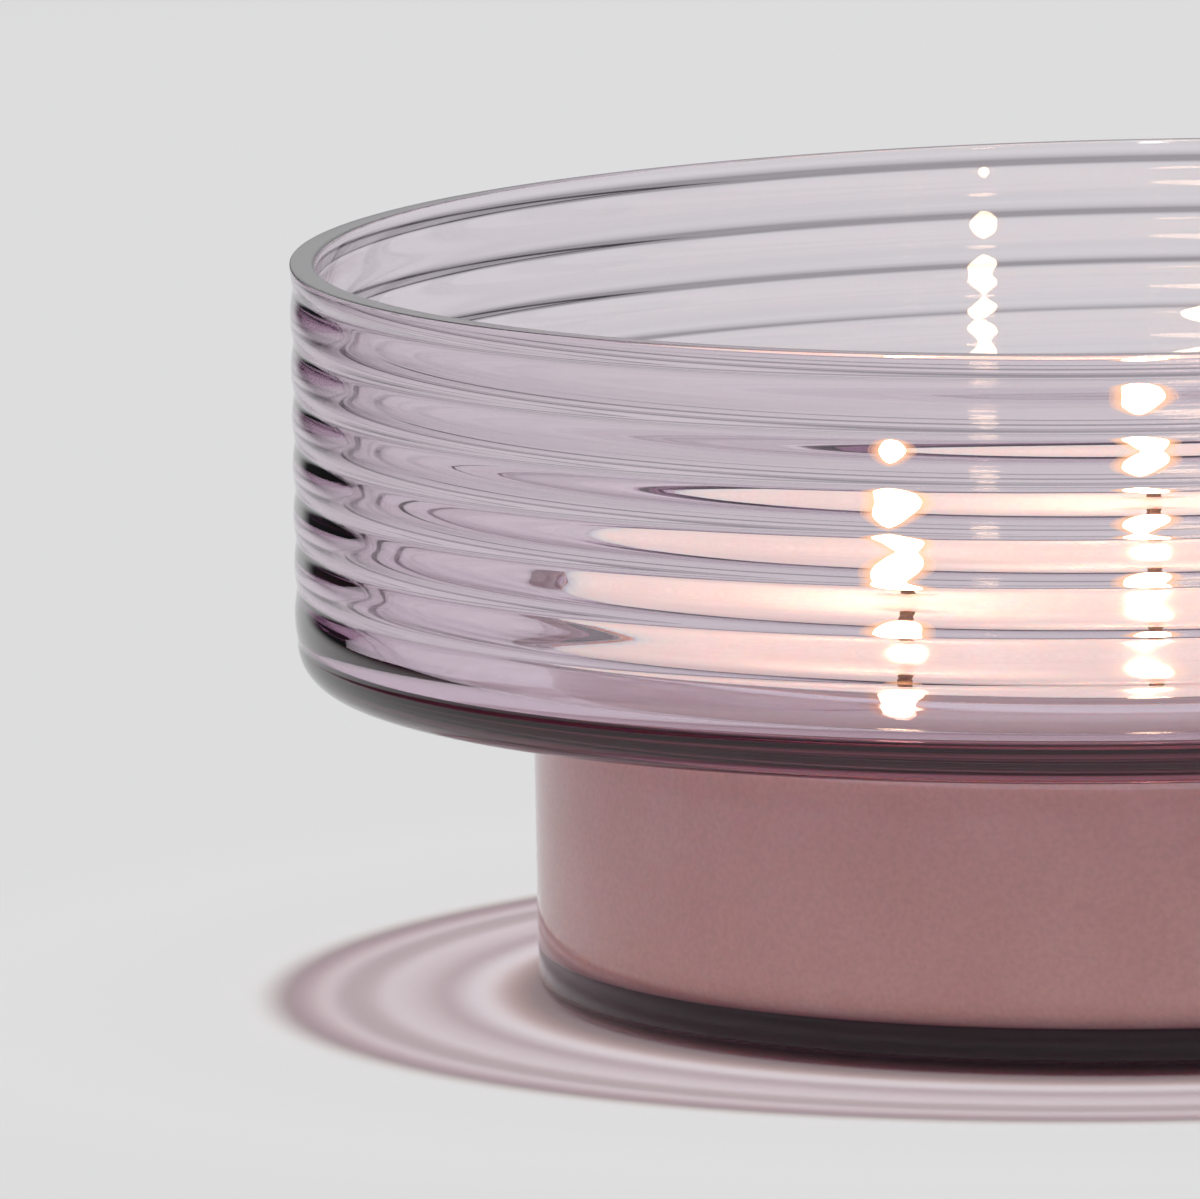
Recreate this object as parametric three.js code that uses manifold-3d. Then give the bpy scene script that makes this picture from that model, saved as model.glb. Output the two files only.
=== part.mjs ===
// Three-wick candle poured into a stepped glass vessel: a wide ribbed bowl over a narrower smooth base.
// Millimetres, +Z up, origin at the centre of the face that the vessel stands on.

import * as THREE from 'three';
import { mergeVertices } from 'three/addons/utils/BufferGeometryUtils.js';
import Module from 'manifold-3d';

const wasm = await Module();
wasm.setup();

// Outside of the glass
const bowlRadius = 100; // at the rim, on the crests of the ribs
const bowlFlare = 0.25; // how much wider the bowl is at its lowest rib
const vesselHeight = 85.2;
const baseRadius = 73.1;
const baseHeight = 36.7; // from the table to the flat underside of the bowl
const bowlCorner = 3; // round between the bowl's wall and its underside
const neckFillet = 1.2; // inner corner between the base and the underside of the bowl
const heelRound = 2.5; // lower edge of the base
const footRingWidth = 9; // flat ring that touches the table
const puntDepth = 1; // shallow hollow under the base
const puntSlope = 6; // width of the sloping edge of that hollow

// Ribs round the bowl, one of them cut through its crest by the rim
const ribCount = 7; // whole ribs under the half rib at the rim
const ribDepth = 0.36; // from crest to groove
const footBand = 4.9; // plain wall under the lowest groove
const stepsPerRib = 4;

// Thickness of the glass
const rimFlat = 2.2; // ground flat on top of the wall
const rimBevelWidth = 1;
const rimBevelDrop = 1.6;
const wallAtFoot = 5.7; // bowl wall next to its floor
const wallUnderRim = 4.5; // bowl wall where it starts to thin towards the rim
const rimThinning = 8; // height over which it thins
const bowlFloor = 4.5;
const baseWall = 5.3;
const baseFloor = 4.7;
const bowlInsideCorner = 4;
const shoulderRound = 5; // inner edge where the bowl's floor turns down into the base
const baseInsideCorner = 4;

// Wax, with the gap that shrinking leaves between it and the glass
const waxUnderBowlFloor = 0.7; // the wax ends inside the base, and the bowl's floor round it is bare glass
const seatGap = 0.3; // between any two pieces that rest on or pass through each other

// Wicks and what holds them down
const wickCount = 3;
const wickCircleRadius = 35.4;
const backWickAngle = 92.4; // degrees from +X
const wickRadius = 0.9;
const wickOverWax = 13.4;
const wickTipLength = 8; // burnt end that bends over
const wickTipLean = 1.6; // sideways reach of the burnt tip
const sustainerRadius = 10;
const sustainerThickness = 0.5;
const sustainerWall = 0.4; // sheet round the wick
const sustainerHeight = 6.5;
const padRadius = 9;
const padThickness = 1;

const vesselSegments = 64;
const smallSegments = 24;
const wickSides = 10;
const wickSteps = 20;

// Heights that follow from these sizes
const bowlFloorTop = baseHeight + bowlFloor;
const waxLevel = bowlFloorTop - waxUnderBowlFloor;
const padBottom = baseFloor + seatGap;
const sustainerBottom = padBottom + padThickness + seatGap;
const sustainerTop = sustainerBottom + sustainerHeight;
const wickTop = waxLevel + wickOverWax;
const wickBore = wickRadius + seatGap;

const point = (radius, height) => new THREE.Vector2(radius, height);

// Points of a round in the half section, between two angles in degrees, with 0 pointing outward.
function round(radius, height, size, fromAngle, toAngle, steps = 4) {
  const points = [];
  for (let i = 0; i <= steps; i++) {
    const angle = THREE.MathUtils.degToRad(fromAngle + ((toAngle - fromAngle) * i) / steps);
    points.push(point(radius + size * Math.cos(angle), height + size * Math.sin(angle)));
  }
  return points;
}

// Solid of revolution about Z from a half section of radii and heights.
function revolve(section, segments) {
  const geometry = new THREE.LatheGeometry(section, segments);
  geometry.rotateX(Math.PI / 2);
  return geometry;
}

// Wall of the bowl from the lowest groove up to the rim: each rib swells outward between two grooves.
function ribbedWall() {
  const lowestGroove = baseHeight + footBand;
  const ribPitch = (vesselHeight - lowestGroove) / (ribCount + 0.5);
  const stepCount = Math.round((ribCount + 0.5) * stepsPerRib);
  const points = [];
  for (let i = 0; i <= stepCount; i++) {
    const acrossRib = (2 * (i % stepsPerRib)) / stepsPerRib - 1; // -1 in a groove, 0 on a crest
    const crestRadius = bowlRadius + bowlFlare * (1 - i / stepCount);
    const height = lowestGroove + (i * ribPitch) / stepsPerRib;
    points.push(point(crestRadius - ribDepth * acrossRib ** 2, height));
  }
  return points;
}

// Outer half section, from the axis under the base out and up to the rim.
function outerSection() {
  const ringOuter = baseRadius - heelRound;
  const ringInner = ringOuter - footRingWidth;
  const footRadius = bowlRadius + bowlFlare - ribDepth;
  return [
    point(0, puntDepth),
    point(ringInner - puntSlope, puntDepth),
    point(ringInner, 0),
    ...round(ringOuter, heelRound, heelRound, -90, 0),
    ...round(baseRadius + neckFillet, baseHeight - neckFillet, neckFillet, 180, 90),
    ...round(footRadius - bowlCorner, baseHeight + bowlCorner, bowlCorner, -90, 0),
    ...ribbedWall(),
  ];
}

// Half section of the hollow, from the axis on the floor up to the rim, drawn in by a clearance.
function hollowSection(clearance) {
  const floor = baseFloor + clearance;
  const neckRadius = baseRadius - baseWall - clearance;
  const shoulder = bowlFloorTop + clearance;
  const footRadius = bowlRadius - wallAtFoot - clearance;
  const upperRadius = bowlRadius - wallUnderRim - clearance;
  const rimRadius = bowlRadius - rimFlat - clearance;
  const lowCorner = baseInsideCorner - clearance;
  const edge = shoulderRound + clearance;
  const highCorner = bowlInsideCorner - clearance;
  return [
    point(0, floor),
    ...round(neckRadius - lowCorner, floor + lowCorner, lowCorner, -90, 0),
    ...round(neckRadius + edge, shoulder - edge, edge, 180, 90),
    ...round(footRadius - highCorner, shoulder + highCorner, highCorner, -90, 0),
    point(upperRadius, vesselHeight - rimThinning),
    point(rimRadius - rimBevelWidth, vesselHeight - rimBevelDrop),
    point(rimRadius, vesselHeight),
  ];
}

// Closed mesh to boolean solid and back
function toSolid(geometry) {
  const bare = geometry.clone();
  bare.deleteAttribute('normal');
  bare.deleteAttribute('uv');
  const merged = mergeVertices(bare);
  const vertProperties = new Float32Array(merged.attributes.position.array);
  const triVerts = new Uint32Array(merged.index.array);
  return new wasm.Manifold(new wasm.Mesh({ numProp: 3, vertProperties, triVerts }));
}

function toGeometry(solid) {
  const mesh = solid.getMesh();
  const geometry = new THREE.BufferGeometry();
  geometry.setAttribute('position', new THREE.BufferAttribute(mesh.vertProperties, 3));
  geometry.setIndex(new THREE.BufferAttribute(mesh.triVerts, 1));
  geometry.computeVertexNormals();
  return geometry;
}

// Glass: one blown and ground piece
function vesselGeometry() {
  const section = [...outerSection(), ...hollowSection(0).reverse()];
  return revolve(section, vesselSegments);
}

// Room in the wax for one wick, its sustainer and its pad, open under the wax and above it
function wickPocket() {
  const discRadius = Math.max(sustainerRadius, padRadius) + seatGap;
  const discTop = sustainerBottom + sustainerThickness + seatGap;
  const neckRadius = wickBore + 2 * sustainerWall + seatGap;
  const neckTop = sustainerTop + seatGap;
  const section = [
    point(0, baseFloor),
    point(discRadius, baseFloor),
    point(discRadius, discTop),
    point(neckRadius, discTop),
    point(neckRadius, neckTop),
    point(wickBore, neckTop),
    point(wickBore, wickTop),
    point(0, wickTop),
  ];
  return revolve(section, smallSegments);
}

// Wax: fills the base up to its level, a little below the bowl's floor
function waxGeometry(places) {
  const hollow = toSolid(revolve([...hollowSection(seatGap), point(0, vesselHeight)], vesselSegments));
  const belowLevel = [point(0, 0), point(bowlRadius, 0), point(bowlRadius, waxLevel), point(0, waxLevel)];
  let wax = hollow.intersect(toSolid(revolve(belowLevel, vesselSegments)));
  for (const place of places) {
    const pocket = wickPocket().translate(place.x, place.y, 0);
    wax = wax.subtract(toSolid(pocket));
  }
  return toGeometry(wax);
}

// Wick: a straight cord up through the wax, then a burnt tip that bends over a little towards +X
function wickGeometry() {
  const cord = new THREE.CurvePath();
  const tipStart = new THREE.Vector3(0, 0, wickTop - wickTipLength);
  const tipBend = new THREE.Vector3(0, 0, wickTop - wickTipLength / 3);
  const tipEnd = new THREE.Vector3(wickTipLean, 0, wickTop);
  cord.add(new THREE.LineCurve3(new THREE.Vector3(0, 0, sustainerBottom), tipStart));
  cord.add(new THREE.QuadraticBezierCurve3(tipStart, tipBend, tipEnd));
  const section = new THREE.Shape();
  section.absarc(0, 0, wickRadius, 0, 2 * Math.PI);
  return new THREE.ExtrudeGeometry(section, {
    steps: wickSteps,
    curveSegments: wickSides / 2,
    extrudePath: cord,
  });
}

// Sustainer: a pressed metal disc with a neck that holds the wick upright
function sustainerGeometry() {
  const neckRadius = wickBore + sustainerWall;
  const discTop = sustainerBottom + sustainerThickness;
  const section = [
    point(wickBore, sustainerBottom),
    point(sustainerRadius, sustainerBottom),
    point(sustainerRadius, discTop),
    point(neckRadius + sustainerWall, discTop),
    point(neckRadius, discTop + sustainerWall),
    point(neckRadius, sustainerTop),
    point(wickBore, sustainerTop),
    point(wickBore, sustainerBottom),
  ];
  return revolve(section, smallSegments);
}

// Adhesive pad: a foam disc that sticks the sustainer to the glass floor
function padGeometry() {
  const padTop = padBottom + padThickness;
  const section = [point(0, padBottom), point(padRadius, padBottom), point(padRadius, padTop), point(0, padTop)];
  return revolve(section, smallSegments);
}

function piece(name, geometry, look) {
  const mesh = new THREE.Mesh(geometry, new THREE.MeshStandardMaterial(look));
  mesh.name = name;
  return mesh;
}

const glassLook = { color: 0xc9b2c0, roughness: 0.03, metalness: 0, transparent: true, opacity: 0.4 };
const waxLook = { color: 0xe9d6d3, roughness: 0.45, metalness: 0 };
const cottonLook = { color: 0xd9cdb8, roughness: 0.9, metalness: 0 };
const tinLook = { color: 0xb9bbbd, roughness: 0.35, metalness: 1 };
const foamLook = { color: 0xf2f2ee, roughness: 0.8, metalness: 0 };

// The three wicks, each with its tip bent its own way (degrees from +X)
const wickNames = ['back', 'front_left', 'front_right'];
const tipDirections = [200, 165, 170];

const candle = new THREE.Group();
const wickPlaces = wickNames.map((name, i) => {
  const angle = THREE.MathUtils.degToRad(backWickAngle + (360 * i) / wickCount);
  return { name, x: wickCircleRadius * Math.cos(angle), y: wickCircleRadius * Math.sin(angle) };
});

candle.add(piece('glass_vessel', vesselGeometry(), glassLook));
candle.add(piece('wax_fill', waxGeometry(wickPlaces), waxLook));
wickPlaces.forEach((place, i) => {
  const station = new THREE.Group();
  const wick = piece(`wick_${place.name}`, wickGeometry(), cottonLook);
  wick.rotation.z = THREE.MathUtils.degToRad(tipDirections[i]);
  station.position.set(place.x, place.y, 0);
  station.add(wick);
  station.add(piece(`wick_sustainer_${place.name}`, sustainerGeometry(), tinLook));
  station.add(piece(`adhesive_pad_${place.name}`, padGeometry(), foamLook));
  candle.add(station);
});

export default candle;
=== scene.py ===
# Three-wick candle poured into a stepped, ribbed glass vessel.
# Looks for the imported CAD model: clear glass with a mauve tint, wax, braided wicks and their flames.

import math

import bpy
from mathutils import Matrix, Vector


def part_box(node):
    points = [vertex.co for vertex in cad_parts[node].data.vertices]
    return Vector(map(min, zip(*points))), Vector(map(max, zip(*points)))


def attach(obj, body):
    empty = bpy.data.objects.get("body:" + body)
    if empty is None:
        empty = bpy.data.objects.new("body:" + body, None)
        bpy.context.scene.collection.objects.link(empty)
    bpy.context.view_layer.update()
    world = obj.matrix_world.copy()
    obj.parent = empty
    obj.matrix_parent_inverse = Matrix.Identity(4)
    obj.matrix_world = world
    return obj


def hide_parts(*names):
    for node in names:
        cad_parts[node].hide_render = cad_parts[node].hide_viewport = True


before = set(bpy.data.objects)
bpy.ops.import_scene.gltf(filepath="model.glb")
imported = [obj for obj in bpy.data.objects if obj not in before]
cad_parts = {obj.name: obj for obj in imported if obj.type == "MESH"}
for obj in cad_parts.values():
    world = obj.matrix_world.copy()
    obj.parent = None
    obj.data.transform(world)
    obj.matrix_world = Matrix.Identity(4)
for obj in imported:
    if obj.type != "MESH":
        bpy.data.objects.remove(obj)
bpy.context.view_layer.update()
print("frame loaded:", len(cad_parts), "nodes")

mm = 0.001
lathe = {"mergeWithin": 0.002, "smoothUnder": 35}  # mm, degrees


def linear(hexColour):
    # sRGB hex to Blender's linear colour
    channels = [int(hexColour[i:i + 2], 16) / 255 for i in (1, 3, 5)]
    return [c / 12.92 if c <= 0.04045 else ((c + 0.055) / 1.055) ** 2.4 for c in channels] + [1.0]


def grainScale(size):
    # Scale of a noise or Voronoi texture with grains of this size in mm
    return 1 / (size * mm)


def addNode(tree, kind, settings=None, inputs=None, links=None):
    # settings are the node's own properties, inputs are fixed values, links are (from node, output) pairs
    node = tree.nodes.new(kind)
    for key, value in (settings or {}).items():
        setattr(node, key, value)
    for key, value in (inputs or {}).items():
        node.inputs[key].default_value = value
    for key, (source, output) in (links or {}).items():
        tree.links.new(source.outputs[output], node.inputs[key])
    return node


def newMaterial(name):
    material = bpy.data.materials.new(name)
    material.use_nodes = True
    material.node_tree.nodes.clear()
    return material, material.node_tree


def setRamp(ramp, stops):
    elements = ramp.color_ramp.elements
    while len(elements) < len(stops):
        elements.new(0.5)
    for element, (position, colour) in zip(elements, stops):
        element.position = position
        element.color = linear(colour)


def turned(section, name, steps):
    # Turns a half section of (radius, height) pairs in mm into a closed body round the z axis
    bpy.ops.object.select_all(action="DESELECT")
    start = section[0]
    bpy.ops.mesh.primitive_plane_add(size=10 * mm, location=(start[0] * mm, 0, start[1] * mm))
    body = bpy.context.active_object
    body.name = name
    bpy.ops.object.mode_set(mode="EDIT")
    bpy.ops.mesh.select_all(action="SELECT")
    bpy.ops.mesh.merge(type="CENTER")
    for before, after in zip(section, section[1:]):
        step = ((after[0] - before[0]) * mm, 0, (after[1] - before[1]) * mm)
        bpy.ops.mesh.extrude_vertices_move(TRANSFORM_OT_translate={"value": step})
    bpy.ops.mesh.select_all(action="SELECT")
    bpy.ops.mesh.spin(steps=steps, angle=2 * math.pi, center=(0, 0, 0), axis=(0, 0, 1))
    bpy.ops.mesh.select_all(action="SELECT")
    bpy.ops.mesh.remove_doubles(threshold=lathe["mergeWithin"] * mm)
    bpy.ops.mesh.normals_make_consistent(inside=False)
    bpy.ops.object.mode_set(mode="OBJECT")
    bpy.ops.object.transform_apply(location=True, rotation=True, scale=True)
    bpy.ops.object.shade_smooth_by_angle(angle=math.radians(lathe["smoothUnder"]))
    return body


def arc(radius, height, size, fromAngle, toAngle, steps):
    # Round in a half section, 0 degrees pointing outward
    points = []
    for i in range(steps + 1):
        angle = math.radians(fromAngle + (toAngle - fromAngle) * i / steps)
        points.append((radius + size * math.cos(angle), height + size * math.sin(angle)))
    return points


def straight(start, end, steps):
    # Points between two, without the first
    return [(start[0] + (end[0] - start[0]) * i / steps, start[1] + (end[1] - start[1]) * i / steps)
            for i in range(1, steps + 1)]


def dress(piece, material, nodes):
    piece.data.materials.clear()
    piece.data.materials.append(material)
    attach(piece, "root")
    if nodes:
        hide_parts(*nodes)


# Camera, floor and light. The camera stands in front of the vessel and looks a little down.

view = {
    "distance": 2.842, "height": 0.4409,  # metres from the vessel's axis and over the table
    "pitch": 7.926, "yaw": 1.314, "roll": 1.18,  # degrees
    "lens": 750, "sensor": 36,  # mm
    "clipEnd": 30,
}

cameraData = bpy.data.cameras.new("camera")
cameraData.lens = view["lens"]
cameraData.sensor_width = view["sensor"]
cameraData.clip_end = view["clipEnd"]
camera = bpy.data.objects.new("camera", cameraData)
bpy.context.scene.collection.objects.link(camera)
camera.matrix_world = (
    Matrix.Translation((0, -view["distance"], view["height"]))
    @ Matrix.Rotation(math.radians(view["yaw"]), 4, "Z")
    @ Matrix.Rotation(math.radians(90 - view["pitch"]), 4, "X")
    @ Matrix.Rotation(math.radians(-view["roll"]), 4, "Z")
)
bpy.context.scene.camera = camera

studio = {
    "floorSize": 60.0, "floorColour": "#E0E1E1", "backdrop": "#DDDDDE",
    "underGlass": 0.03,  # mm, since glass touches a real table in few points only
    "lampHeight": 2.1, "lampWidth": 0.12, "lampWatts": 27.2,
    # Tones by the sine of the height over the horizon: pale walls round the table, a dimmer ceiling
    "sky": ((0.0, "#9C9B9E"), (0.1, "#CFCED0"), (0.25, "#F4F4F4"),
            (0.45, "#F0F0F0"), (0.65, "#8E8E90"), (1.0, "#5A5A5C")),
    "litRadius": (0.13, 0.17),  # the floor fades into the flat backdrop between these
    "farRadius": (0.98, 2.6), "farColour": "#9C9B9E",  # and that into the room behind it
    "sideReach": (0.26, 0.44), "sideColour": "#303032",  # painted dark reflection: the floor turns dark at left and right, seen in the glass only
}

bpy.ops.object.select_all(action="DESELECT")
bpy.ops.mesh.primitive_plane_add(size=studio["floorSize"], location=(0, 0, -studio["underGlass"] * mm))
floor = bpy.context.active_object
floor.name = "studio_floor"
floorMaterial, tree = newMaterial("matte painted sweep")  # plain pale floor, evenly lit like a backdrop further out
painted = addNode(tree, "ShaderNodeBsdfDiffuse", inputs={"Color": linear(studio["floorColour"])})
place = addNode(tree, "ShaderNodeTexCoord")
reach = addNode(tree, "ShaderNodeVectorMath", {"operation": "LENGTH"}, links={0: (place, "Object")})
behind = addNode(tree, "ShaderNodeMapRange", inputs={
    "From Min": studio["farRadius"][0], "From Max": studio["farRadius"][1]}, links={"Value": (reach, "Value")})
backdrop = addNode(tree, "ShaderNodeMix", {"data_type": "RGBA"}, {
    6: linear(studio["backdrop"]), 7: linear(studio["farColour"])}, {0: (behind, 0)})
rays = addNode(tree, "ShaderNodeLightPath")
# Painted dark reflection: away to left and right the floor's tone turns dark for all but camera rays, so only the
# glass shows it
split = addNode(tree, "ShaderNodeSeparateXYZ", links={"Vector": (place, "Object")})
aside = addNode(tree, "ShaderNodeMath", {"operation": "ABSOLUTE"}, links={0: (split, "X")})
paintedDarkSides = addNode(tree, "ShaderNodeMapRange", {"interpolation_type": "SMOOTHSTEP"}, {
    "From Min": studio["sideReach"][0], "From Max": studio["sideReach"][1]}, {"Value": (aside, 0)})
indirect = addNode(tree, "ShaderNodeMath", {"operation": "SUBTRACT"}, {0: 1.0}, {1: (rays, "Is Camera Ray")})
paintedDarkSides = addNode(tree, "ShaderNodeMath", {"operation": "MULTIPLY"}, links={0: (paintedDarkSides, 0), 1: (indirect, 0)})
backdrop = addNode(tree, "ShaderNodeMix", {"data_type": "RGBA"}, {7: linear(studio["sideColour"])}, {
    0: (paintedDarkSides, 0), 6: (backdrop, 2)})
even = addNode(tree, "ShaderNodeEmission", links={"Color": (backdrop, 2)})
fade = addNode(tree, "ShaderNodeMapRange", {"interpolation_type": "SMOOTHSTEP"}, {
    "From Min": studio["litRadius"][0], "From Max": studio["litRadius"][1]}, {"Value": (reach, "Value")})
seen = addNode(tree, "ShaderNodeMath", {"operation": "MAXIMUM"}, links={
    0: (rays, "Is Camera Ray"), 1: (rays, "Is Glossy Ray")})
seen = addNode(tree, "ShaderNodeMath", {"operation": "MAXIMUM"}, links={
    0: (seen, 0), 1: (rays, "Is Transmission Ray")})
far = addNode(tree, "ShaderNodeMath", {"operation": "MULTIPLY"}, links={0: (seen, 0), 1: (fade, 0)})
surface = addNode(tree, "ShaderNodeMixShader", links={0: (far, 0), 1: (painted, 0), 2: (even, 0)})
addNode(tree, "ShaderNodeOutputMaterial", links={"Surface": (surface, 0)})
floor.data.materials.append(floorMaterial)

lampData = bpy.data.lights.new("overhead lamp", "AREA")
lampData.shape = "DISK"
lampData.size = studio["lampWidth"]
lampData.energy = studio["lampWatts"]
lamp = bpy.data.objects.new("overhead lamp", lampData)
lamp.location = (0, 0, studio["lampHeight"])
bpy.context.scene.collection.objects.link(lamp)

world = bpy.data.worlds.new("studio")
world.use_nodes = True
bpy.context.scene.world = world
tree = world.node_tree
tree.nodes.clear()
sight = addNode(tree, "ShaderNodeTexCoord")
split = addNode(tree, "ShaderNodeSeparateXYZ", links={"Vector": (sight, "Generated")})
sky = addNode(tree, "ShaderNodeValToRGB", links={"Fac": (split, "Z")})
setRamp(sky, studio["sky"])
background = addNode(tree, "ShaderNodeBackground", {}, {"Strength": 1.0}, {"Color": (sky, 0)})
addNode(tree, "ShaderNodeOutputWorld", links={"Surface": (background, 0)})

bpy.context.scene.view_settings.view_transform = "Standard"
cycles = bpy.context.scene.cycles
# Light passes many faces of the ribbed glass
cycles.max_bounces = 32
cycles.transmission_bounces = 32
cycles.glossy_bounces = 16
cycles.transparent_max_bounces = 16
cycles.blur_glossy = 0.0  # or the glass would spill the lamp's light over its own shadow
print("studio ready")


# Glass vessel: one lathed body, its outside and its hollow drawn as two half sections

vessel = {
    "bowlRadius": 100, "bowlFlare": 0.25, "height": 85.2,
    "baseRadius": 73.1, "baseHeight": 36.7,
    "bowlCorner": 4.6, "neckFillet": 2.6, "heelRound": 2.5,
    "footRing": 9, "puntDepth": 1, "puntSlope": 6,
    "grooves": (41.6, 47.8, 53.3, 59.1, 64.7, 70.2, 76.1, 82.3),  # heights, a little uneven as in blown glass
    # Slope of the outside down one rib, as (share of its height, degrees): a straight shoulder, then a fuller belly
    "ribSlopes": ((0, 0), (0.07, 8.1), (0.27, 8.1), (0.52, 0), (0.92, -12.6), (1, 0)),
    "ribDepth": 0.32, "footBulge": 0.03,
    "rimFlat": 2.4, "rimBevel": 1.0, "rimEdge": 0.3,
    # The wall thins upward by this slope, which eases out by this share between these heights
    "wallAtFoot": 3.7, "innerSlope": 0.0375, "easeStart": 57, "easeHeight": 12, "easeShare": 0.9,
    "bowlFloor": 4.5, "baseWall": 5.3, "baseFloor": 4.7,
    "bowlInsideCorner": 4, "shoulder": 7, "baseInsideCorner": 4, "cornerLead": 0.4, "innerWave": 0.03,
    "ribSteps": 20, "wallSteps": 90, "rimSteps": 12, "around": 256,
    "ior": 1.51, "tint": "#AD439C", "tintDensity": 51.0,
    # Light that the glass lets down onto the table, by radius in mm
    "rings": (
        (71, "#000000"), (73, "#B09080"), (74.4, "#CDB8B0"), (75.6, "#E4D4D0"),  # the base's edge and the neck
        (77.2, "#FFFCFA"), (79, "#FFFFFF"), (80.4, "#EFE9EA"), (82.3, "#D8CCCE"),  # round the shoulder
        (85.3, "#EFE8E8"), (88.8, "#FBF6F6"), (91.2, "#DCD0D0"), (93.6, "#D6CACA"),  # the bowl's floor
        (95.4, "#F6F0F0"), (98.8, "#FFFAEC"), (100.6, "#E0DACC"),  # its corner and its wall
    ),
    "ringSpan": 110,
}


def grooveLine(height):
    # Radius at the bottom of a groove: the bowl widens a little towards its foot
    v = vessel
    down = (v["height"] - height) / (v["height"] - v["grooves"][0])
    return v["bowlRadius"] + v["bowlFlare"] * down - v["ribDepth"]


def ribRise(share):
    # How far the outside has come out of the groove above, as a share of the rib's height
    slopes = vessel["ribSlopes"]
    rise = 0.0
    for (start, first), (end, last) in zip(slopes, slopes[1:]):
        part = min(max((share - start) / (end - start), 0.0), 1.0)
        middle = first + (last - first) * part / 2
        rise += math.radians(middle) * (end - start) * part
    return rise


def ribSection(low, high):
    # One rib from the groove below it to the groove above
    points = []
    for i in range(vessel["ribSteps"] + 1):
        up = i / vessel["ribSteps"]
        lift = ribRise(1 - up) - ribRise(1) * (1 - up)
        base = grooveLine(low) + (grooveLine(high) - grooveLine(low)) * up
        points.append((base + lift * (high - low), low + (high - low) * up))
    return points


def outerSection():
    # From the axis under the base out to the outer edge of the rim
    v = vessel
    ringOuter = v["baseRadius"] - v["heelRound"]
    ringInner = ringOuter - v["footRing"]
    footRadius = grooveLine(v["grooves"][0]) + v["footBulge"]
    neckTop = v["baseHeight"] - v["neckFillet"]
    points = [(0, v["puntDepth"])]
    points += straight(points[-1], (ringInner - v["puntSlope"], v["puntDepth"]), 6)
    points += straight(points[-1], (ringInner, 0), 4)
    points += straight(points[-1], (ringOuter, 0), 3)
    points += arc(ringOuter, v["heelRound"], v["heelRound"], -90, 0, 10)[1:]
    points += straight(points[-1], (v["baseRadius"], neckTop), 6)
    points += arc(v["baseRadius"] + v["neckFillet"], neckTop, v["neckFillet"], 180, 90, 6)[1:]
    points += straight(points[-1], (footRadius - v["bowlCorner"], v["baseHeight"]), 5)
    points += arc(footRadius - v["bowlCorner"], v["baseHeight"] + v["bowlCorner"], v["bowlCorner"], -90, 0, 20)[1:]
    points += straight(points[-1], (grooveLine(v["grooves"][0]), v["grooves"][0]), 2)
    for low, high in zip(v["grooves"], v["grooves"][1:]):
        points += ribSection(low, high)[1:]
    # Part of a rib up to the ground rim
    lastGroove = v["grooves"][-1]
    edgeHeight = v["height"] - v["rimEdge"]
    lastRib = ribSection(lastGroove, lastGroove + 2 * (v["height"] - lastGroove))
    points += [p for p in lastRib[1:] if p[1] < edgeHeight]
    rimRadius = points[-1][0]
    points.append((rimRadius, edgeHeight))
    points += arc(rimRadius - v["rimEdge"], edgeHeight, v["rimEdge"], 0, 90, 4)[1:]
    return points


def innerRadius(height):
    # Wall of the bowl from inside: thicker towards its foot, nearly upright above
    v = vessel
    footHeight = v["baseHeight"] + v["bowlFloor"] + v["bowlInsideCorner"]
    sloped = min(height, v["easeStart"]) - footHeight
    eased = min(max((height - v["easeStart"]) / v["easeHeight"], 0), 1)
    sloped += v["easeHeight"] * (eased - v["easeShare"] / 2 * eased ** 2)
    radius = v["bowlRadius"] - v["wallAtFoot"] + v["innerSlope"] * sloped
    # The ribs show faintly inside too
    marks = v["grooves"] + (2 * v["height"] - v["grooves"][-1],)
    for low, high in zip(marks, marks[1:]):
        if low <= height < high and height > footHeight:
            radius -= v["innerWave"] * math.sin(2 * math.pi * (height - low) / (high - low))
    return radius


def baseHollow(floorClearance, wallClearance, shoulderClearance):
    # From the axis on the floor of the base up the inside to the floor of the bowl
    v = vessel
    floorHeight = v["baseFloor"] + floorClearance
    neck = v["baseRadius"] - v["baseWall"]
    lowRound = v["baseInsideCorner"] - floorClearance
    shoulderTop = v["baseHeight"] + v["bowlFloor"]
    points = [(0, floorHeight)]
    points += straight(points[-1], (neck - v["baseInsideCorner"], floorHeight), 6)
    points += arc(neck - v["baseInsideCorner"], v["baseFloor"] + v["baseInsideCorner"], lowRound, -90, 0, 8)[1:]
    points.append((neck - wallClearance, points[-1][1] + v["cornerLead"]))
    points += straight(points[-1], (neck - wallClearance, shoulderTop - v["shoulder"] - 2), 5)
    points += arc(neck + v["shoulder"], shoulderTop - v["shoulder"], v["shoulder"] + shoulderClearance, 180, 90, 16)
    return points


def hollowSection():
    # From the axis over the base's floor and the bowl's to the top of the wall, then rounded over to the ground rim
    v = vessel
    points = baseHollow(0, 0, 0)
    shoulderTop = points[-1][1]
    cornerTop = shoulderTop + v["bowlInsideCorner"]
    foot = innerRadius(cornerTop)
    points += straight(points[-1], (foot - v["bowlInsideCorner"], shoulderTop), 5)
    points += arc(foot - v["bowlInsideCorner"], cornerTop, v["bowlInsideCorner"], -90, 0, 10)[1:]
    rise = v["height"] - v["rimBevel"] - cornerTop
    for i in range(1, v["wallSteps"] + 1):
        height = cornerTop + rise * i / v["wallSteps"]
        points.append((innerRadius(height), height))
    flat = v["bowlRadius"] - v["rimFlat"]
    width = flat - points[-1][0]
    for i in range(1, v["rimSteps"] + 1):
        turn = math.radians(90 * i / v["rimSteps"])
        points.append((flat - width * math.cos(turn), v["height"] - v["rimBevel"] * (1 - math.sin(turn))))
    return points


glass = turned(outerSection() + hollowSection()[::-1], "vessel", vessel["around"])

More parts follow.
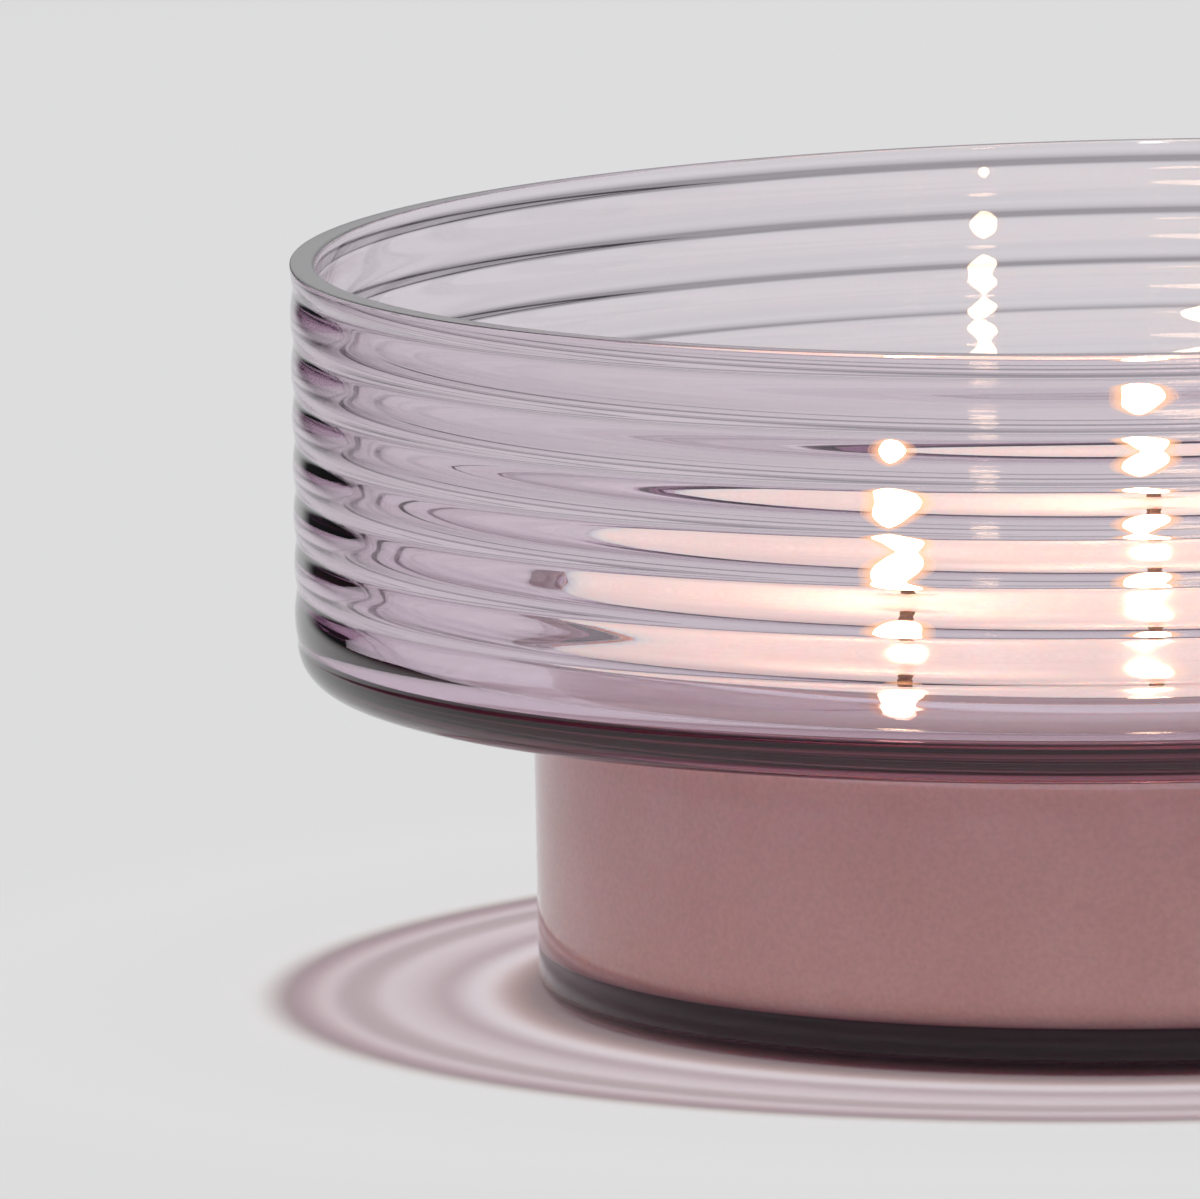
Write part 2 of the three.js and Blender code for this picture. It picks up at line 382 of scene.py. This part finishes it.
material, tree = newMaterial("soda lime glass, mauve")  # clear and glossy, its tint deepens with thickness
body = addNode(tree, "ShaderNodeBsdfPrincipled", inputs={
    "Base Color": linear("#FFFFFF"), "Roughness": 0.0, "IOR": vessel["ior"], "Transmission Weight": 1.0})
absorption = addNode(tree, "ShaderNodeVolumeAbsorption", inputs={
    "Color": linear(vessel["tint"]), "Density": vessel["tintDensity"]})
rays = addNode(tree, "ShaderNodeLightPath")
# Straight shadow rays miss the lens effects of the rounds, so the glass's shadow is tinted in rings
place = addNode(tree, "ShaderNodeTexCoord")
flat = addNode(tree, "ShaderNodeVectorMath", {"operation": "MULTIPLY"}, {1: (1, 1, 0)}, {0: (place, "Object")})
radius = addNode(tree, "ShaderNodeVectorMath", {"operation": "LENGTH"}, links={0: (flat, 0)})
share = addNode(tree, "ShaderNodeMath", {"operation": "MULTIPLY"}, {1: 1 / (vessel["ringSpan"] * mm)}, {
    0: (radius, "Value")})
ringRamp = addNode(tree, "ShaderNodeValToRGB", links={"Fac": (share, 0)})
setRamp(ringRamp, [(ring / vessel["ringSpan"], colour) for ring, colour in vessel["rings"]])
shadowTint = addNode(tree, "ShaderNodeBsdfTransparent", links={"Color": (ringRamp, 0)})
surface = addNode(tree, "ShaderNodeMixShader", links={0: (rays, "Is Shadow Ray"), 1: (body, 0), 2: (shadowTint, 0)})
addNode(tree, "ShaderNodeOutputMaterial", links={"Surface": (surface, 0), "Volume": (absorption, 0)})
dress(glass, material, ["glass_vessel"])
print("vessel:", len(glass.data.polygons), "faces")


# Sizes and places of the wicks, ahead of the wax that climbs them

wick = {
    "radius": 0.9, "strands": 4, "lay": 2.6, "relief": 0.12, "around": 24, "alongStep": 0.3,
    "overWax": 13.4, "tipLength": 8, "bend": 1.6, "lean": 1.6,
    "leanDirection": {"back": 200, "front_left": 165, "front_right": 170},
    "blank": 10,  # mm, height of the straight cord before it is laid along its line
    "fleck": 1.11,  # the cotton's yarn, in mm
}
wickNames = ("back", "front_left", "front_right")
wickBoxes = {name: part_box("wick_" + name) for name in wickNames}


def wickFoot(name):
    # Centre of the wick's foot, from the sustainer round it
    low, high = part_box("wick_sustainer_" + name)
    return Vector(((low.x + high.x) / 2, (low.y + high.y) / 2))


wickFeet = {name: wickFoot(name) for name in wickNames}


# Wax: fills the base, molten on top

wax = {
    "wetting": 0.02, "gap": 0.3,  # the wax wets the base and has shrunk away from the shoulder
    "underFloor": 1.0,  # its level under the bowl's floor
    "wallMeniscus": 0.1, "wickMeniscus": 0.9, "reach": 1.6,  # how high the melt climbs, and how far out
    "topSteps": 70, "around": 256, "skin": 0.01,
    "colours": ("#F2DAD2", "#F9E4DC"), "mottle": 16.7,
    "grain": 0.667,  # real grains of set wax are finer, and would not show
    "glow": "#FFB088", "glowBelow": 0.13, "glowAbove": 0.055,  # painted glow, an emission standing in for the flames' light that spreads down inside
    "darkBelow": (0.2, 2.0),  # the painted glow fades out towards the underside, in mm over the floor
}
waxLevel = vessel["baseHeight"] + vessel["bowlFloor"] - wax["underFloor"]

section = [p for p in baseHollow(-wax["wetting"], -wax["wetting"], wax["gap"])
           if p[1] <= waxLevel + wax["wallMeniscus"]]
edgeRadius = section[-1][0]
for i in range(1, wax["topSteps"] + 1):
    inward = edgeRadius * (i / wax["topSteps"])
    rise = wax["wallMeniscus"] * math.exp(-inward / wax["reach"])
    section.append((edgeRadius - inward, waxLevel + rise))
waxBody = turned(section, "wax", wax["around"])
for vertex in waxBody.data.vertices:
    if vertex.co.z > (waxLevel - wax["skin"]) * mm:
        for foot in wickFeet.values():
            away = (Vector(vertex.co[:2]) - foot).length / mm
            climb = wax["wickMeniscus"] * math.exp(-max(away - wick["radius"], 0) / wax["reach"])
            vertex.co.z += climb * mm

material, tree = newMaterial("candle wax, dusty rose")  # soft light from inside, partly a painted glow, satin skin, glossy where molten
coords = addNode(tree, "ShaderNodeTexCoord")
mottle = addNode(tree, "ShaderNodeTexNoise", inputs={"Scale": grainScale(wax["mottle"]), "Detail": 4.0}, links={
    "Vector": (coords, "Object")})
ramp = addNode(tree, "ShaderNodeValToRGB", links={"Fac": (mottle, 0)})
setRamp(ramp, [(0.35, wax["colours"][0]), (0.65, wax["colours"][1])])
grains = addNode(tree, "ShaderNodeTexNoise", inputs={"Scale": grainScale(wax["grain"]), "Detail": 1.0}, links={
    "Vector": (coords, "Object")})
grainTone = addNode(tree, "ShaderNodeMapRange", inputs={
    "From Min": 0.3, "From Max": 0.7, "To Min": 0.9, "To Max": 1.0}, links={"Value": (grains, 0)})
grained = addNode(tree, "ShaderNodeVectorMath", {"operation": "SCALE"}, links={0: (ramp, 0), "Scale": (grainTone, 0)})
# Painted glow: a weak emission for the flames' light inside the wax, stronger low down and fading out near the
# underside
split = addNode(tree, "ShaderNodeSeparateXYZ", links={"Vector": (coords, "Object")})
depth = addNode(tree, "ShaderNodeMapRange", inputs={
    "From Min": 0.0, "From Max": waxLevel * mm, "To Min": wax["glowBelow"], "To Max": wax["glowAbove"]}, links={
    "Value": (split, "Z")})
underside = addNode(tree, "ShaderNodeMapRange", inputs={
    "From Min": (vessel["baseFloor"] + wax["darkBelow"][0]) * mm,
    "From Max": (vessel["baseFloor"] + wax["darkBelow"][1]) * mm}, links={"Value": (split, "Z")})
paintedGlow = addNode(tree, "ShaderNodeMath", {"operation": "MULTIPLY"}, links={0: (depth, 0), 1: (underside, 0)})
body = addNode(tree, "ShaderNodeBsdfPrincipled", inputs={
    "Roughness": 0.12, "IOR": 1.44, "Subsurface Weight": 1.0, "Subsurface Radius": (1.0, 0.45, 0.3),
    "Subsurface Scale": 0.006, "Emission Color": linear(wax["glow"])},
    links={"Base Color": (grained, 0), "Emission Strength": (paintedGlow, 0)})
addNode(tree, "ShaderNodeOutputMaterial", links={"Surface": (body, 0)})
dress(waxBody, material, ["wax_fill"])
print("wax:", len(waxBody.data.polygons), "faces")


# Wicks: a round braid whose burnt tip bends over

def wickCentre(name, height):
    # Straight up through the wax, then bent over the tip's length
    foot = wickFeet[name]
    top = waxLevel + wick["overWax"]
    along = max(0.0, (height - top + wick["tipLength"]) / wick["tipLength"])
    direction = math.radians(wick["leanDirection"][name])
    shift = wick["lean"] * mm * along ** wick["bend"]
    return foot.x + shift * math.cos(direction), foot.y + shift * math.sin(direction)


def makeWick(name):
    low, high = wickBoxes[name]
    bottom, top = low.z / mm, high.z / mm
    rings = int((top - bottom) / wick["alongStep"])
    side = [(wick["radius"], i / rings * wick["blank"]) for i in range(rings + 1)]
    cord = turned([(0, 0)] + side + [(0, wick["blank"])], "wick_" + name + "_cord", wick["around"])
    for vertex in cord.data.vertices:
        height = bottom + vertex.co.z / (wick["blank"] * mm) * (top - bottom)
        angle = math.atan2(vertex.co.y, vertex.co.x)
        radius = math.hypot(vertex.co.x, vertex.co.y)
        # Strands wind to the left and to the right, and the upper one of each crossing shows
        wound = 4 * math.pi * height / (wick["lay"] * wick["strands"])
        left = math.cos(wick["strands"] * angle - wound * 2)
        right = math.cos(wick["strands"] * angle + wound * 2)
        radius *= 1 - wick["relief"] + wick["relief"] * max(left, right)
        x, y = wickCentre(name, height)
        vertex.co = (x + radius * math.cos(angle), y + radius * math.sin(angle), height * mm)
    return cord


material, tree = newMaterial("braided cotton wick")  # waxed cream cotton, burnt brown to black at the tip
coords = addNode(tree, "ShaderNodeTexCoord")
split = addNode(tree, "ShaderNodeSeparateXYZ", links={"Vector": (coords, "Object")})
grain = addNode(tree, "ShaderNodeTexNoise", inputs={"Scale": grainScale(wick["fleck"]), "Detail": 3.0}, links={
    "Vector": (coords, "Object")})
burn = addNode(tree, "ShaderNodeMapRange", inputs={
    "From Min": waxLevel * mm, "From Max": (waxLevel + wick["overWax"]) * mm}, links={"Value": (split, "Z")})
ramp = addNode(tree, "ShaderNodeValToRGB", links={"Fac": (burn, 0)})
setRamp(ramp, [(0.0, "#A9805C"), (0.25, "#6B3D27"), (0.6, "#3A1F17"), (1.0, "#1B1210")])
fleck = addNode(tree, "ShaderNodeMix", {"data_type": "RGBA", "blend_type": "MULTIPLY"}, {0: 0.5}, {
    6: (ramp, 0), 7: (grain, 1)})
body = addNode(tree, "ShaderNodeBsdfPrincipled", inputs={"Roughness": 0.75}, links={"Base Color": (fleck, 2)})
addNode(tree, "ShaderNodeOutputMaterial", links={"Surface": (body, 0)})
for name in wickNames:
    dress(makeWick(name), material, ["wick_" + name])
print("wicks:", len(wickNames))


# Flames: a white heart in thin glowing shells that soften its edge

flame = {
    "bottom": 44.6, "top": {"back": 61.8, "front_left": 61.4, "front_right": 61.8},
    "width": {"back": 5.2, "front_left": 5.4, "front_right": 5.3},
    "mantle": (0.2, 0.45, 0.75, 1.1, 1.6),  # growth of the shells round the heart
    "lowBelly": 0.8, "fullness": 0.6, "taper": 0.3,
    "heartColour": "#FFDFB8", "heartStrength": 50.0,
    "mantleColour": "#FFBE85", "mantleStrength": 1.8, "mantleCover": 0.1,
    "steps": 28, "around": 32,
}


def flameShape(share):
    # Half width from 0 at the bottom to 0 at the tip, widest a third of the way up
    return math.sin(math.pi * share ** flame["lowBelly"]) ** flame["fullness"] * (1 - flame["taper"] * share)


def makeFlame(name, grow):
    bottom, top, width = flame["bottom"] - grow / 2, flame["top"][name] + grow, flame["width"][name] + 2 * grow
    peak = max(flameShape(i / 100) for i in range(101))
    section = []
    for i in range(flame["steps"] + 1):
        share = i / flame["steps"]
        radius = 0 if i in (0, flame["steps"]) else flameShape(share) / peak * width / 2
        section.append((radius, bottom + share * (top - bottom)))
    body = turned(section, "flame_" + name, flame["around"])
    # It leans with the wick, all the way over from two thirds of its height
    baseX, baseY = wickCentre(name, bottom)
    tipX, tipY = wickCentre(name, waxLevel + wick["overWax"])
    for vertex in body.data.vertices:
        share = (vertex.co.z / mm - bottom) / (top - bottom)
        vertex.co.x += baseX + (tipX - baseX) * min(share * 1.5, 1)
        vertex.co.y += baseY + (tipY - baseY) * min(share * 1.5, 1)
    return body


heart, tree = newMaterial("candle flame")  # white hot glow of soot
glow = addNode(tree, "ShaderNodeEmission", inputs={
    "Color": linear(flame["heartColour"]), "Strength": flame["heartStrength"]})
addNode(tree, "ShaderNodeOutputMaterial", links={"Surface": (glow, 0)})
mantle, tree = newMaterial("flame mantle")  # thin orange edge round the white heart
edge = addNode(tree, "ShaderNodeEmission", inputs={
    "Color": linear(flame["mantleColour"]), "Strength": flame["mantleStrength"]})
clear = addNode(tree, "ShaderNodeBsdfTransparent")
surface = addNode(tree, "ShaderNodeMixShader", inputs={0: flame["mantleCover"]}, links={1: (clear, 0), 2: (edge, 0)})
addNode(tree, "ShaderNodeOutputMaterial", links={"Surface": (surface, 0)})
for name in wickNames:
    dress(makeFlame(name, 0), heart, [])
    for grow in flame["mantle"]:
        dress(makeFlame(name, grow), mantle, [])
print("flames:", len(wickNames))


# Sustainers and pads: kept from the CAD model, hidden in the wax

hidden = {"rollingLines": (0.5, 16.7), "pores": 0.4}  # mm, the lines across and along the sheet, and the foam's cells

tinplate, tree = newMaterial("pressed tinplate")  # dull silver, fine rolling lines
coords = addNode(tree, "ShaderNodeTexCoord")
across, along = [grainScale(size) for size in hidden["rollingLines"]]
stretch = addNode(tree, "ShaderNodeMapping", inputs={"Scale": (across, along, along)}, links={
    "Vector": (coords, "Object")})
lines = addNode(tree, "ShaderNodeTexNoise", inputs={"Scale": 1.0, "Detail": 3.0}, links={"Vector": (stretch, 0)})
roughness = addNode(tree, "ShaderNodeMapRange", inputs={"To Min": 0.28, "To Max": 0.42}, links={"Value": (lines, 0)})
body = addNode(tree, "ShaderNodeBsdfPrincipled", inputs={"Base Color": linear("#C9CBCC"), "Metallic": 1.0}, links={
    "Roughness": (roughness, 0)})
addNode(tree, "ShaderNodeOutputMaterial", links={"Surface": (body, 0)})

foam, tree = newMaterial("closed cell foam")  # matt white with fine pores
coords = addNode(tree, "ShaderNodeTexCoord")
pores = addNode(tree, "ShaderNodeTexVoronoi", inputs={"Scale": grainScale(hidden["pores"])}, links={
    "Vector": (coords, "Object")})
ramp = addNode(tree, "ShaderNodeValToRGB", links={"Fac": (pores, "Distance")})
setRamp(ramp, [(0.0, "#C9C7C0"), (0.4, "#EFEEE9")])
body = addNode(tree, "ShaderNodeBsdfPrincipled", inputs={"Roughness": 0.8}, links={"Base Color": (ramp, 0)})
addNode(tree, "ShaderNodeOutputMaterial", links={"Surface": (body, 0)})

for name in wickNames:
    for node, look in (("wick_sustainer_" + name, tinplate), ("adhesive_pad_" + name, foam)):
        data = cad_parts[node].data
        data.materials.clear()
        data.materials.append(look)
print("sustainers and pads dressed")
